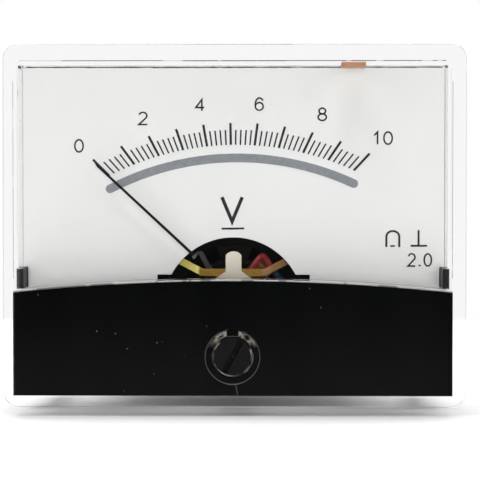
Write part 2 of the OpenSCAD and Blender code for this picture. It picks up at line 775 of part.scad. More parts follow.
module rear_bridge() {
    color([0.8, 0.62, 0.28]) difference() {
        at_pivot() union() {
            sheet(rear_bridge_y, rear_bridge_back) {
                bar([-rear_post_x, 0], [rear_post_x, 0], 3);
                circle(2.4);
            }
            rotate([0, 150, 0]) translate([-0.6, rear_bridge_y, 1.8]) cube([1.2, bridge_t, spring_r - 1.2]);
            rotate([0, 150, 0]) translate([-0.6, rear_spring_y, spring_r + 0.15])
                cube([1.2, rear_bridge_back - rear_spring_y, 0.45]);
        }
        rod(jewel_screw_r, rear_bridge_y - 1, rear_bridge_back + 1, 0, pivot_z);
        both_sides() rod(screw_d / 2, rear_bridge_y - 1, rear_bridge_back + 1, rear_post_x, pivot_z);
    }
}

module bridge_screws() {
    color([0.72, 0.72, 0.7]) both_sides() {
        small_screw(pillar_x, bridge_y + arm_set_back, pillar_z, bridge_t + 2.4);
        translate([0, 2 * rear_bridge_back, 0]) scale([1, -1, 1])
            small_screw(rear_post_x, rear_bridge_back, pivot_z, bridge_t + 2);
    }
}

// A jewel screw: slotted at its outer end, with the pivot's cup at its inner end.
module jewel_screw(outer, inner) {
    s = sign(inner - outer);
    difference() {
        turned([[0, outer], [jewel_screw_r, outer], [jewel_screw_r, inner - 0.15 * s],
                [jewel_screw_r - 0.15, inner], [pivot_r + run, inner],
                [pivot_r + run, inner - (pivot_len + 0.15) * s],
                [0, inner - (pivot_len + 0.15) * s]], 0, pivot_z);
        translate([0, outer, pivot_z]) cube([big, 0.8, 0.4], center = true);
    }
}

nut_gap = fit;
jewel_nut_t = 0.7;
front_jewel_outer = lever_y - nut_gap - jewel_nut_t - 0.3;
module front_jewel_screw() {
    color([0.85, 0.7, 0.35]) jewel_screw(front_jewel_outer, jewel_end);
}

module rear_jewel_screw() {
    color([0.85, 0.7, 0.35]) jewel_screw(rear_jewel_end + rear_jewel_len, rear_jewel_end);
}

module jewel_nuts() {
    color([0.8, 0.66, 0.34]) {
        hex_nut(lever_y - nut_gap - jewel_nut_t, jewel_nut_t, 3.4, jewel_screw_r, 0, pivot_z);
        hex_nut(rear_bridge_back, jewel_nut_t, 3.4, jewel_screw_r, 0, pivot_z);
    }
}

// ---------- leads and resistors ----------

lead_r = 0.4;
lead_layer = bridge_back + 0.1 + lead_r;        // between the front bridge and the stem
lead_x = 10.5;
lead_z = pivot_z + 2.2;
resistor_y = rear_bridge_back + 4.6;
series_z = 7;
balance_z = pivot_z - 4;
module red_lead() {
    color([0.7, 0.08, 0.06]) lead([
        [2, lead_layer, pivot_z + 3.5], [3.2, lead_layer, pivot_z + 5],
        [3.7, lead_layer, pivot_z + 5.35], [4.2, lead_layer, pivot_z + 4.9],
        [5.9, lead_layer, pivot_z + 2.4], [7.6, lead_layer, pivot_z + 1.6],
        [9.8, lead_layer + 1, lead_z - 0.4], [lead_x, yoke_y + 2, lead_z - 0.2],
        [lead_x, frame_y, lead_z], [lead_x, frame_back + 1, lead_z],
        [9, resistor_y - 2, -1], [6.4, resistor_y - 0.6, series_z - 3],
        [5.62, resistor_y, series_z - 0.2]], lead_r);
}

module blue_lead() {
    low = pivot_z - 2;
    color([0.1, 0.42, 0.48]) lead([
        [5.3, bridge_y - 0.3, pivot_z + 3.3], [5.9, bridge_y - 0.5, pivot_z + 2.5],
        [6.8, bridge_y - 0.3, pivot_z + 0.8], [9, bridge_y + 1, low + 1.2],
        [lead_x, yoke_y + 1, low + 3], [lead_x + 0.9, frame_y, lead_z - 0.9],
        [lead_x + 0.9, frame_back + 1, lead_z - 0.9], [lead_x + 1.1, rear_bridge_back + 2, pivot_z - 1],
        [8, resistor_y - 2.4, balance_z + 1],
        [4.2, resistor_y - 2, balance_z]], lead_r);
}

module black_lead() {
    color([0.08, 0.08, 0.08]) lead([
        [-rear_post_x + 0.6, rear_bridge_back + 1.1, pivot_z],
        [-rear_post_x - 0.6, rear_bridge_back + 2.4, pivot_z + 2],
        [-terminal_pitch / 2 - 0.5, end_y - 4.5, -3], [-terminal_pitch / 2, end_y - 1.2 - lead_r, 0]],
        lead_r);
}

// A small axial resistor along X: a body with two end caps, and its two wires.
module resistor(x0, x1, y, z, r, cap, tint) {
    color(tint) translate([0, y, z]) rotate([0, 90, 0]) rotate_extrude()
        polygon([[0, x0], [r, x0], [r, x0 + cap], [r * 0.86, x0 + cap + 0.3],
                 [r * 0.86, x1 - cap - 0.3], [r, x1 - cap], [r, x1], [0, x1]]);
}

module series_resistor() {
    body_r = 1.2;
    wire_r = 0.3;
    resistor(-3.2, 3.2, resistor_y, series_z, body_r, 1.4, [0.35, 0.6, 0.66]);
    color([0.8, 0.8, 0.78]) {
        translate([3, resistor_y, series_z]) rotate([0, 90, 0]) cylinder(r = wire_r, h = 2.1);
        lead([[-3, resistor_y, series_z], [-4.6, resistor_y, series_z],
              [-6, resistor_y + 1.5, series_z + 1], [-3, end_y - 3, series_z + 3],
              [4, end_y - 2.6, series_z + 2], [terminal_pitch / 2 - 0.5, end_y - 2.4, 2],
              [terminal_pitch / 2, end_y - 1.2 - wire_r, 0.5]], wire_r);
    }
}

module balance_resistor() {
    body_r = 0.9;
    wire_r = 0.25;
    y = resistor_y - 2;
    resistor(-2, 2, y, balance_z, body_r, 0.9, [0.72, 0.64, 0.46]);
    color([0.8, 0.8, 0.78]) {
        translate([1.8, y, balance_z]) rotate([0, 90, 0]) cylinder(r = wire_r, h = 2.4);
        lead([[-1.8, y, balance_z], [-4, y, balance_z], [-6, y - 1, balance_z + 1.6],
              [-6.4, rear_bridge_back + wire_r, pivot_z - 0.6]], wire_r);
    }
}

// ---------- moving element ----------

// Loop of the coil, seen from the side it faces: grow is its distance outside the former.
module coil_loop(grow, w) {
    front = coil_y + coil_build - former_t - grow;
    back = coil_back - coil_build + former_t + grow;
    half = coil_in + former_t + grow;
    r = 0.4 + grow;
    translate([0, (front + back) / 2, -w / 2]) linear_extrude(w) round_rect(2 * half, back - front, r);
}

module coil_hole(w) {
    translate([0, (coil_y + coil_back) / 2, -w / 2]) linear_extrude(w)
        round_rect(2 * coil_in, coil_back - coil_y - 2 * coil_build, 0.2);
}

flange_of_coil = 0.2;
module coil_former() {
    color([0.8, 0.8, 0.82]) at_rest() difference() {
        union() {
            coil_loop(0, coil_w);
            for (s = [-1, 1]) translate([0, 0, s * (coil_w - flange_of_coil) / 2])
                coil_loop(coil_build - former_t, flange_of_coil);
        }
        coil_hole(coil_w + 2);
    }
}

module coil_winding() {
    w = coil_w - 2 * flange_of_coil;
    color([0.7, 0.32, 0.14]) at_rest() difference() {
        coil_loop(coil_build - former_t - 0.05, w);
        coil_loop(0, w + 1);
    }
}

// A pivot: a base on the coil, a staff with the hairspring's collet, and the fine tip.
module pivot(base, collet, shoulder, tip) {
    s = sign(tip - base);
    turned([[0, base], [1.1, base], [1.1, base + 0.2 * s], [staff_r, base + 0.2 * s],
            [staff_r, collet], [collet_r, collet], [collet_r, collet + spring_h * s],
            [staff_r, collet + spring_h * s], [staff_r, shoulder - 0.15 * s],
            [pivot_r, shoulder], [pivot_r, tip], [0, tip]]);
}

module front_pivot() {
    color([0.62, 0.62, 0.64]) at_rest()
        pivot(coil_y, spring_y + spring_h, jewel_end + 0.05, jewel_end - pivot_len);
}

module rear_pivot() {
    color([0.62, 0.62, 0.64]) at_rest()
        pivot(coil_back, rear_spring_y, rear_jewel_end - 0.05, rear_jewel_end + pivot_len);
}

// The stem: hub, cranked blade and the arms of the balance weights, pressed from one sheet.
stem_end = [1.05, needle_root - 0.2];
tail_end = 5.4;
arm_end = 3.5;
arm_width = 0.4;
module pointer_stem() {
    fold_w = 0.48;
    fold_x = 0.16;
    color([0.42, 0.42, 0.43]) at_rest() difference() {
        union() {
            sheet(stem_y, stem_y + stem_t) {
                circle(hub_r);
                bar([0.1, 0.9], [0.43, 4.95], stem_w);
                bar([0.43, 4.95], stem_end - [0, stem_w / 2], stem_w);
                translate([-arm_width / 2, -tail_end]) square([arm_width, tail_end]);
                translate([-arm_end, -arm_width / 2]) square([2 * arm_end, arm_width]);
            }
            translate([fold_x, stem_y, needle_root - stem_t])
                cube([stem_end[0] - fold_x, stem_t, stem_t]);
            translate([fold_x, needle_y, needle_root - stem_t]) cube([fold_w, stem_y + stem_t - needle_y, stem_t]);
        }
        rod(staff_r, stem_y - 1, stem_y + stem_t + 1);
    }
}

module needle() {
    tip_w = needle_w * 0.8;
    root_x = 0.48;
    point = 0.5;
    color([0.08, 0.08, 0.08]) at_rest() sheet(needle_y, needle_y + needle_t)
        polygon([[root_x - needle_w / 2, needle_root], [root_x + needle_w / 2, needle_root],
                 [tip_w / 2, needle_tip - point], [0, needle_tip], [-tip_w / 2, needle_tip - point]]);
}

// Turns of fine wire on the arms, shown as short sleeves.
module balance_weights() {
    y = stem_y + stem_t / 2;
    hole = [arm_width, stem_t];
    tail_weight_r = 0.9;
    tail_weight_len = 1.3;
    side_weight_r = 0.4;
    side_weight_len = 0.6;
    color([0.72, 0.55, 0.3]) at_rest() {
        translate([0, y, -tail_end + 0.2]) difference() {
            cylinder(r = tail_weight_r, h = tail_weight_len);
            translate([0, 0, tail_weight_len / 2])
                cube([hole[0], hole[1], tail_weight_len + 1], center = true);
        }
        both_sides() translate([arm_end - 0.15 - side_weight_len, y, 0]) rotate([0, 90, 0])
            difference() {
                cylinder(r = side_weight_r, h = side_weight_len);
                translate([0, 0, side_weight_len / 2])
                    cube([hole[0], hole[1], side_weight_len + 1], center = true);
            }
    }
}

front_cover();
cover_seal();
front_apron();
dial_plate();
scale_marks();
scale_band();
dial_screws();
rear_housing();
mounting_studs();
movement_frame();
frame_screws();
core_holder();
core_magnet();
yoke_ring();
front_bridge();
rear_bridge();
bridge_screws();
front_jewel_screw();
rear_jewel_screw();
jewel_nuts();
rear_hairspring();
series_resistor();
balance_resistor();
red_lead();
blue_lead();
black_lead();
terminal_studs();
terminal_nuts();
terminal_washers();
solder_tags();
zero_screw();
zero_clip();
zero_lever();
front_hairspring();
coil_former();
coil_winding();
front_pivot();
rear_pivot();
pointer_stem();
needle();
balance_weights();
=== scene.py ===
# %% [markdown]
# # A moving-coil panel meter
# The real object is a small voltmeter for an instrument panel. A clear box stands in front of a flange, a
# black apron covers the bottom of its window, and a needle moves over a printed dial. The exact solids
# come from the construction model. This lesson gives them their finishes and adds what is too fine for
# the model: figures on the dial, screw threads, bevelled edges, dust and scratches.

import json
import math

import bpy
import numpy as np
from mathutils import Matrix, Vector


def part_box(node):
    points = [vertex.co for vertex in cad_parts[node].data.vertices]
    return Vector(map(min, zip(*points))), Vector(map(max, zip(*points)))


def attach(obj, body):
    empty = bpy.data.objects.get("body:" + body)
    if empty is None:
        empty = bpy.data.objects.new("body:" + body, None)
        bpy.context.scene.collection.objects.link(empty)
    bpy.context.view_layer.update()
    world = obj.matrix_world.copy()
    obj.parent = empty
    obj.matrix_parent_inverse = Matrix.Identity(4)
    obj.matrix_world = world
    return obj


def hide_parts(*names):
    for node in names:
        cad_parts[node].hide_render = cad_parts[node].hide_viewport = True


MM = 0.001
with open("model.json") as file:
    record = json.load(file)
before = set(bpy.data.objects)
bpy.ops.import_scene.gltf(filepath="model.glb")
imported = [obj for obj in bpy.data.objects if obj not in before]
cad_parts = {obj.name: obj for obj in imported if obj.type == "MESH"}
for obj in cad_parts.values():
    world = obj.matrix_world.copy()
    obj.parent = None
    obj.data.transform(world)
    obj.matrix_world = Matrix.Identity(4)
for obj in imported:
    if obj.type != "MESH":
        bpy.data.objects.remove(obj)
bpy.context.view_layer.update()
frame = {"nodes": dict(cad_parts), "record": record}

# %% [markdown]
# ## Sizes read from the model
# Everything added here has to sit on the solids, so its place is measured from their boxes and is never
# typed twice: the dial's face, the pointer's axis and the middle of the flange. Only the window's front
# face is given as a number, 12 mm before the panel.

# %% Sizes
cover_low, cover_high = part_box("front_cover")
dial_low, dial_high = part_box("dial_plate")
yoke_low, yoke_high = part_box("yoke_ring")
flange_middle = (cover_low.z + cover_high.z) / 2
pivot_z = (yoke_low.z + yoke_high.z) / 2
dial_face = dial_low.y
window_front = -12.0 * MM
table_z = cover_low.z
screw_low, screw_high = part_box("zero_screw")
screw_z = (screw_low.z + screw_high.z) / 2
apron_low, apron_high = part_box("front_apron")
print("dial face y", round(dial_face / MM, 2), "pointer axis z", round(pivot_z / MM, 2), "mm")

# %% [markdown]
# ## A small language for shader maths
# A material is a network of nodes, and wiring it by hand is slow to read. The class `Wire` holds one
# output socket, and its plus, minus and times signs add Math nodes, so a pattern can be written as a sum.
# `Finish` holds one material: `node` adds any other node, and `put` sets or links a socket of the
# surface shader.


# %% Shader maths
class Wire:
    """One output socket. Its arithmetic adds Math nodes to the same material."""

    def __init__(self, socket):
        self.socket = socket

    def math(self, operation, *values):
        tree = self.socket.node.id_data
        maths = tree.nodes.new("ShaderNodeMath")
        maths.operation = operation
        for place, value in enumerate(values):
            join(tree, maths.inputs[place], value)
        return Wire(maths.outputs[0])

    def __add__(self, other):
        return self.math("ADD", self, other)

    def __sub__(self, other):
        return self.math("SUBTRACT", self, other)

    def __rsub__(self, other):
        return self.math("SUBTRACT", other, self)

    def __mul__(self, other):
        return self.math("MULTIPLY", self, other)

    __radd__ = __add__
    __rmul__ = __mul__

    def above(self, edge):
        return self.math("GREATER_THAN", self, edge)

    def below(self, edge):
        return self.math("LESS_THAN", self, edge)

    def between(self, low, high):
        return self.above(low) * self.below(high)

    def root(self):
        return self.math("SQRT", self)

    def size(self):
        return self.math("ABSOLUTE", self)

    def clamped(self):
        return self.math("MINIMUM", self.math("MAXIMUM", self, 0.0), 1.0)

    def highest(self, other):
        return self.math("MAXIMUM", self, other)


def join(tree, socket, value):
    """Links a Wire to the socket, or sets the socket to a plain value."""
    if isinstance(value, Wire):
        tree.links.new(value.socket, socket)
    elif socket.type == "RGBA" and len(value) == 3:
        socket.default_value = (*value, 1.0)
    else:
        socket.default_value = value


class Finish:
    """One material with a Principled surface."""

    def __init__(self, name, colour, **values):
        self.material = bpy.data.materials.new(name)
        self.material.use_nodes = True
        self.tree = self.material.node_tree
        self.surface = self.tree.nodes["Principled BSDF"]
        self.put("Base Color", colour)
        for socket, value in values.items():
            self.put(socket.replace("_", " "), value)
        self.material.diffuse_color = (*colour, 1.0)

    def put(self, socket, value):
        join(self.tree, self.surface.inputs[socket], value)

    def node(self, kind, settings=None, output=0, **values):
        """Adds a node and returns one of its outputs. A value goes to the input it names; in0 is the
        first."""
        made = self.tree.nodes.new("ShaderNode" + kind)
        for name, value in (settings or {}).items():
            setattr(made, name, value)
        for socket, value in values.items():
            name = socket.replace("_", " ")
            place = int(name[2:]) if name.startswith("in") and name[2:].isdigit() else name
            join(self.tree, made.inputs[place], value)
        return Wire(made.outputs[output])

    def place(self, scale=(1, 1, 1), shift=(0, 0, 0)):
        """The surface point in the frame, scaled and shifted, for a texture to read."""
        spot = self.node("TexCoord", output="Object")
        return self.node("Mapping", Vector=spot, Scale=scale, Location=shift)

    def noise(self, scale, detail=3.0, roughness=0.5, stretch=(1, 1, 1)):
        """A fractal noise from 0 to 1. A larger scale makes finer grains, and a stretch below 1 draws
        them out along that axis."""
        spot = self.place(stretch)
        return self.node("TexNoise", Vector=spot, Scale=scale, Detail=detail, Roughness=roughness)

    def axes(self):
        """The three coordinates of the surface point, in metres in the frame."""
        spot = self.node("TexCoord", output="Object")
        return [self.node("SeparateXYZ", output=place, in0=spot) for place in range(3)]

    def mix(self, share, first, second):
        """The first colour where the share is 0, the second where it is 1."""
        mixer = self.tree.nodes.new("ShaderNodeMix")
        mixer.data_type = "RGBA"
        join(self.tree, mixer.inputs[0], share)
        join(self.tree, mixer.inputs[6], first)
        join(self.tree, mixer.inputs[7], second)
        return Wire(mixer.outputs[2])

    def bump(self, height, strength, distance):
        self.put("Normal", self.node("Bump", Height=height, Strength=strength, Distance=distance))

    def ray(self, *kinds):
        """1 for rays of any of the kinds, such as Shadow, and 0 for all others."""
        first, *others = [self.node("LightPath", output=f"Is {kind} Ray") for kind in kinds]
        for other in others:
            first = first.highest(other)
        return first

    def give_way(self, share, other):
        """Shows another shader in place of the Principled surface where the share is 1."""
        mixer = self.tree.nodes.new("ShaderNodeMixShader")
        join(self.tree, mixer.inputs[0], share)
        self.tree.links.new(self.surface.outputs[0], mixer.inputs[1])
        join(self.tree, mixer.inputs[2], other)
        self.tree.links.new(mixer.outputs[0], self.tree.nodes["Material Output"].inputs["Surface"])


def linear(*srgb):
    """Colour numbers from 0 to 255 as a picture shows them, turned into the linear values of a shader."""
    share = np.array(srgb) / 255.0
    values = np.where(share <= 0.04045, share / 12.92, ((share + 0.055) / 1.055) ** 2.4)
    return tuple(float(value) for value in values)


print("dial white as linear values:", [round(v, 3) for v in linear(231, 231, 229)])

# %% [markdown]
# ## Clear plastic
# The box is moulded from a clear plastic with the refraction of polystyrene. Shadow rays and diffuse
# rays, which carry the lamps' light to the dial, pass straight through it by a Mix Shader, because bent
# light would need a very long render to arrive. Fine wiping scratches are a very weak bump.


# %% Clear plastic
def clear_plastic():
    finish = Finish("clear polystyrene", (1.0, 1.0, 1.0), Roughness=0.01, IOR=1.5)
    finish.put("Specular IOR Level", 0.2)
    finish.put("Transmission Weight", 1.0)
    scratches = finish.noise(90.0, 2.0, stretch=(3.0, 1.0, 60.0))
    finish.bump(scratches, 0.006, 0.0005)
    through = finish.node("BsdfTransparent", Color=(0.96, 0.965, 0.965))
    finish.give_way(finish.ray("Shadow", "Diffuse"), through)
    return finish


finishes = {"clear_polystyrene": clear_plastic()}
print("made", finishes["clear_polystyrene"].material.name)

# %% [markdown]
# ## Black mouldings
# The apron is a glossy black moulding that has been handled, so its gloss is uneven: soft smears raise
# the roughness here and there, and a few dust specks are lighter. The rear housing is the same black with
# the fine grain of a spark-eroded mould. `above` and `height` are measured from the axis of the zero
# adjuster, and `away` is the distance from it, the root of the two squares.


# %% Black mouldings
def smeared(finish, low, high, scale):
    """A roughness that wanders from low to high in soft patches."""
    finish.put("Roughness", low + (high - low) * finish.noise(scale, 4.0, 0.6))


def dust(finish, scale, share):
    """Small round specks at the cells of a Voronoi pattern: 1 inside a speck and 0 elsewhere."""
    cells = finish.node("TexVoronoi", Vector=finish.place(), Scale=scale)
    chance = finish.node("TexNoise", Vector=finish.place(shift=(0.7, 0.1, 0.3)), Scale=scale * 0.4)
    return (0.10 - cells).above(0.0) * chance.above(1.0 - share)


def round_screw(finish):
    """Distances from the adjuster's axis: to the right, upwards, and in a straight line."""
    across, _, height = finish.axes()
    above = height - screw_z
    return across, above, (across * across + above * above).root()


def broken(finish, scale, detail, roughness, start, gain):
    """A noise cut at the start value and raised by the gain, from 0 to 1: patches with soft edges, for
    wear and for broken painted highlights."""
    return ((finish.noise(scale, detail, roughness) - start) * gain).clamped()


def apron_gloss():
    """Gloss black with faint upright streaks, a pale scuffed patch at each side above the adjuster, a
    painted highlight on the rim round its well and along the apron's left edge, and below the well the line
    in the moulding where two streams of plastic met."""
    finish = Finish("black gloss moulding", (0.0016, 0.0016, 0.0018))
    finish.put("Specular IOR Level", 0.08)
    smeared(finish, 0.18, 0.3, 160.0)
    finish.bump(finish.noise(700.0, 2.0), 0.02, 0.0002)
    across, above, away = round_screw(finish)
    patch = away.between(2.62 * MM, 3.3 * MM) * across.size().above(0.72 * MM)
    fading = ((above - 1.1 * MM) * (1.0 / MM)).clamped()
    scuffed = patch * fading * broken(finish, 1300.0, 4.0, 0.65, start=0.41, gain=6.0)
    from_line = across + 0.2 * above + 0.3 * MM
    line = from_line.size().below(0.05 * MM) * above.between(-4.75 * MM, -3.45 * MM)
    # Painted highlight: a broken pale ring on the bevel round the well, where it would catch the light.
    rim_painted_highlight = away.between(3.34 * MM, 3.47 * MM) * finish.noise(300.0, 3.0, 0.6).above(0.42)
    specks = dust(finish, 900.0, 0.36)
    streaks = finish.noise(110.0, 2.0, stretch=(1.0, 1.0, 0.08))
    streaked = finish.mix(streaks, (0.0001, 0.0002, 0.0002), (0.0028, 0.003, 0.003))
    # Painted highlight: a paler strip along the apron's left edge, where its rounded edge would catch the
    # light.
    edge = across.below(apron_low.x + 0.22 * MM)
    colour_with_painted_highlight = finish.mix(edge, streaked, (0.012, 0.012, 0.012))
    black = finish.mix(specks, colour_with_painted_highlight, (0.05, 0.05, 0.045))
    # The knit line is real. The pale ring mixed in with it is painted highlight.
    knit_line_and_rim_highlight = finish.mix(line.highest(rim_painted_highlight), black, (0.06, 0.06, 0.055))
    finish.put("Base Color", finish.mix(scuffed, knit_line_and_rim_highlight, (0.26, 0.24, 0.2)))
    return finish


def black_grain():
    finish = Finish("black grained moulding", (0.006, 0.006, 0.0065))
    finish.put("Specular IOR Level", 0.35)
    smeared(finish, 0.42, 0.62, 120.0)
    clouds = finish.noise(240.0, 3.0)
    finish.put("Base Color", finish.mix(clouds, (0.004, 0.004, 0.0045), (0.009, 0.009, 0.0095)))
    finish.bump(finish.noise(2600.0, 3.0, 0.6), 0.25, 0.00006)
    return finish


def adjuster_black():
    """Grained black, with painted shade in its slot, which is darker than the face, and a painted highlight
    on its round edge, which is paler. The highlight is a ring that is open at the top, between the two
    slanted lines above = |across| - 1.2 mm."""
    finish = black_grain()
    across, above, away = round_screw(finish)
    _, depth, _ = finish.axes()
    # Painted highlight: a pale ring on the head's round edge, where it catches the light. It is open at the
    # top.
    crescent = above.below(across.size() - 1.2 * MM).highest(across.below(-1.6 * MM))
    ring = away.between(2.3 * MM, 2.6 * MM) * crescent
    screw_edge_painted_glint = ring * broken(finish, 700.0, 3.0, 0.6, start=0.36, gain=5.0)
    face = finish.mix(finish.noise(900.0, 3.0), (0.001, 0.001, 0.001), (0.0045, 0.0045, 0.0045))
    colour_with_painted_highlight = finish.mix(screw_edge_painted_glint, face, (0.22, 0.205, 0.17))
    # Painted shade: the slot is coloured darker than the face, for the shade inside it.
    slot_painted_shade = depth.above(screw_low.y + 0.15 * MM) * away.below(2.3 * MM)
    finish.put("Base Color", finish.mix(slot_painted_shade, colour_with_painted_highlight, (0.0008, 0.0008, 0.0008)))
    finish.put("Specular IOR Level", 0.15)
    return finish


finishes["apron"] = apron_gloss()
finishes["black_plastic"] = black_grain()
finishes["adjuster"] = adjuster_black()
print("made", len(finishes), "finishes")

# %% [markdown]
# ## Dial lacquer and printing ink
# The dial is white lacquer on thin aluminium: nearly even, with a faint cloudiness. The ink is a flat
# black that lets a little of the white through where the screen left it thin.


# %% Dial and ink
def dial_white():
    finish = Finish("white dial lacquer", linear(231, 231, 229), Roughness=0.55)
    clouds = finish.noise(70.0, 4.0, 0.6)
    finish.put("Base Color", finish.mix(clouds, linear(227, 227, 225), linear(235, 235, 233)))
    finish.bump(finish.noise(1800.0, 2.0), 0.04, 0.00004)
    return finish


def ink(name, dense, thin):
    finish = Finish(name, dense, Roughness=0.6)
    cover = (finish.noise(1500.0, 3.0, 0.7) * 2.2 - 0.75).clamped()
    finish.put("Base Color", finish.mix(cover, dense, thin))
    return finish


finishes["dial_white"] = dial_white()
finishes["print_black"] = ink("black ink", linear(18, 18, 19), linear(40, 40, 42))
finishes["print_grey"] = ink("grey ink", linear(126, 130, 135), linear(141, 144, 148))
print("made", len(finishes), "finishes")


# %% [markdown]
# ## Metals
# All the metals are made alike: a colour, a little unevenness in that colour and in the gloss, and brush
# or turning marks as a bump stretched along one direction. Only the numbers differ from part to part. The
# share is how metallic the surface is: dull, lacquered or oxidised metal has less than 1, and shows its
# own colour also where it mirrors nothing bright.


# %% Metals
def metal(name, bright, dull, gloss, marks=(1.0, 1.0, 1.0), tarnish=220.0, share=1.0):
    finish = Finish(name, bright, Metallic=share)
    blotch = (finish.noise(tarnish, 4.0, 0.6) * 2.4 - 0.7).clamped()
    finish.put("Base Color", finish.mix(blotch, bright, dull))
    lines = finish.noise(900.0, 3.0, 0.6, stretch=marks)
    finish.put("Roughness", (gloss[0] + (gloss[1] - gloss[0]) * lines).clamped())
    finish.bump(lines, 0.12, 0.00003)
    return finish


NICKEL, NICKEL_DULL = (0.76, 0.71, 0.6), (0.68, 0.63, 0.52)
finishes["nickel"] = metal("matt nickel", NICKEL, NICKEL_DULL, (0.45, 0.6), (1, 1, 5), share=0.25)
finishes["zinc_steel"] = metal("zinc plate", (0.68, 0.68, 0.66), (0.5, 0.5, 0.49), (0.28, 0.45), (1, 6, 1))
BRASS, BRASS_DULL = (0.42, 0.24, 0.04), (0.3, 0.16, 0.025)
finishes["brass"] = metal("brass", BRASS, BRASS_DULL, (0.3, 0.42), tarnish=90.0, share=0.6)
WANDER = 1.2 * MM


def bridge_brass():
    """Brass with a painted highlight at its left end, where the strip catches the light, and coppery at its
    right end. Both borders wander by half of WANDER to each side."""
    finish = metal("lacquered brass", BRASS, BRASS_DULL, (0.3, 0.42), tarnish=90.0, share=0.3)
    across, _, _ = finish.axes()
    wander = (finish.noise(500.0, 2.0) - 0.5) * WANDER
    body = finish.mix(finish.noise(90.0, 3.0), BRASS, (0.28, 0.15, 0.02))
    coppery = finish.mix((across + wander).above(3.6 * MM), body, (0.42, 0.22, 0.09))
    # Painted highlight: the left end is mixed towards bright yellow, as if lit.
    left_end_painted_highlight = ((-4.1 * MM - across - wander) * (1.0 / (0.35 * MM))).clamped()
    finish.put("Base Color", finish.mix(left_end_painted_highlight, coppery, (1.0, 0.88, 0.24)))
    return finish


def finger_nickel():
    """Matt nickel with painted light: paler toward the tip of the finger and darker at its root. The rise
    goes from 0 at its root to 1 at its tip."""
    finish = metal("finger nickel", NICKEL, NICKEL_DULL, (0.45, 0.6), (1, 1, 5), share=0.15)
    _, _, height = finish.axes()
    # Painted light: shaded nickel at the root blends to lit, paler nickel at the tip.
    rise = ((height - (pivot_z + 2.2 * MM)) * (1.0 / (3.6 * MM))).clamped()
    finish.put("Base Color", finish.mix(rise, (0.62, 0.57, 0.47), (0.86, 0.8, 0.68)))
    return finish


finishes["bridge"] = bridge_brass()
finishes["finger"] = finger_nickel()
finishes["spring_bronze"] = metal("spring bronze", (0.8, 0.5, 0.2), (0.6, 0.34, 0.12), (0.2, 0.35))
finishes["pivot_steel"] = metal("hardened steel", (0.6, 0.6, 0.62), (0.4, 0.4, 0.42), (0.12, 0.25))
finishes["aluminium"] = metal("aluminium", (0.8, 0.8, 0.81), (0.6, 0.6, 0.62), (0.25, 0.4), (1, 7, 1))
# Painted shade: the pointer's stem is the same aluminium as the rest, darkened for the shade it lies in.
finishes["stem_grey"] = metal("grey aluminium", (0.3, 0.3, 0.31), (0.2, 0.2, 0.21), (0.4, 0.55), (1, 1, 7))
print("made", len(finishes), "finishes")


# %% [markdown]
# ## Lacquers, insulation and wire
# The wires' insulation is soft plastic with a slight sheen, the needle is lacquered black, and the coil
# is enamelled wire, whose fine turns are a wave pattern with its bands across the pointer's axis.


# %% Lacquers and insulation
def lacquer(name, deep, pale, gloss=0.35, scale=500.0, sheen=0.5):
    finish = Finish(name, deep)
    finish.put("Specular IOR Level", sheen)
    smeared(finish, gloss - 0.08, gloss + 0.1, scale)
    finish.put("Base Color", finish.mix(finish.noise(scale, 3.0), deep, pale))
    finish.bump(finish.noise(scale * 3.0, 2.0), 0.05, 0.00004)
    return finish


def enamelled_wire():
    finish = Finish("enamelled wire", (0.5, 0.16, 0.05), Metallic=0.7)
    turns = finish.node("TexWave", {"bands_direction": "Y", "wave_type": "BANDS"}, output="Fac",
                        Vector=finish.place(), Scale=1500.0, Distortion=0.4)
    finish.put("Base Color", finish.mix(turns, (0.22, 0.06, 0.02), (0.62, 0.24, 0.09)))
    finish.put("Roughness", 0.25 + 0.2 * turns)
    finish.bump(turns, 0.4, 0.00004)
    return finish


finishes["sealing_compound"] = lacquer("sealing compound", linear(172, 118, 86), linear(194, 142, 114), 0.45)
finishes["needle_black"] = lacquer("needle lacquer", linear(14, 14, 15), linear(22, 22, 23), 0.5, sheen=0.15)
finishes["red_wire"] = lacquer("red insulation", linear(118, 26, 30), linear(152, 50, 56), 0.3)
finishes["blue_wire"] = lacquer("blue insulation", linear(3, 26, 38), linear(8, 40, 54), 0.35, sheen=0.2)
finishes["black_wire"] = lacquer("black insulation", linear(24, 24, 24), linear(34, 34, 34), 0.35)
finishes["magnet"] = lacquer("blackened magnet", linear(9, 9, 10), linear(16, 16, 17), 0.5, sheen=0.12)
finishes["soft_iron"] = lacquer("blackened iron", linear(8, 8, 8), linear(15, 15, 15), 0.5, sheen=0.12)
# Partly painted shade: olive chromate, darkened far below its own colour for the shade inside the case.
finishes["olive_cast"] = lacquer("olive chromate", linear(16, 15, 11), linear(28, 26, 18), 0.5, sheen=0.05)
finishes["resistor_blue"] = lacquer("blue resistor lacquer", linear(96, 160, 176), linear(110, 174, 188), 0.3)
finishes["resistor_tan"] = lacquer("tan resistor lacquer", linear(196, 172, 124), linear(208, 186, 140), 0.3)
finishes["copper"] = enamelled_wire()
print("made", len(finishes), "finishes")

# %% [markdown]
# ## Dressing the solids
# The record says which material slot each solid takes. Each one gets the finish of its slot, and four
# take a finish of their own, whose wear, painted highlights and painted shade are drawn for that piece alone.

# %% Dress the solids
slots = {part["node"]: part["material_slot"] for part in frame["record"]["subparts"]}
own_finish = {"front_apron": "apron", "zero_screw": "adjuster",
              "front_bridge": "bridge", "zero_lever": "finger"}
for name, solid in frame["nodes"].items():
    solid.data.materials.clear()
    solid.data.materials.append(finishes[own_finish.get(name, slots[name])].material)
print("dressed", len(slots), "solids")


# %% [markdown]
# ## Bevelled edges
# A pressed or moulded edge is never sharp: it catches a thin line of light. The small parts in the window
# of the dial are copied from their solids, merged to one skin, and their edges are rounded by a Bevel
# modifier. The copy then stands for the solid.


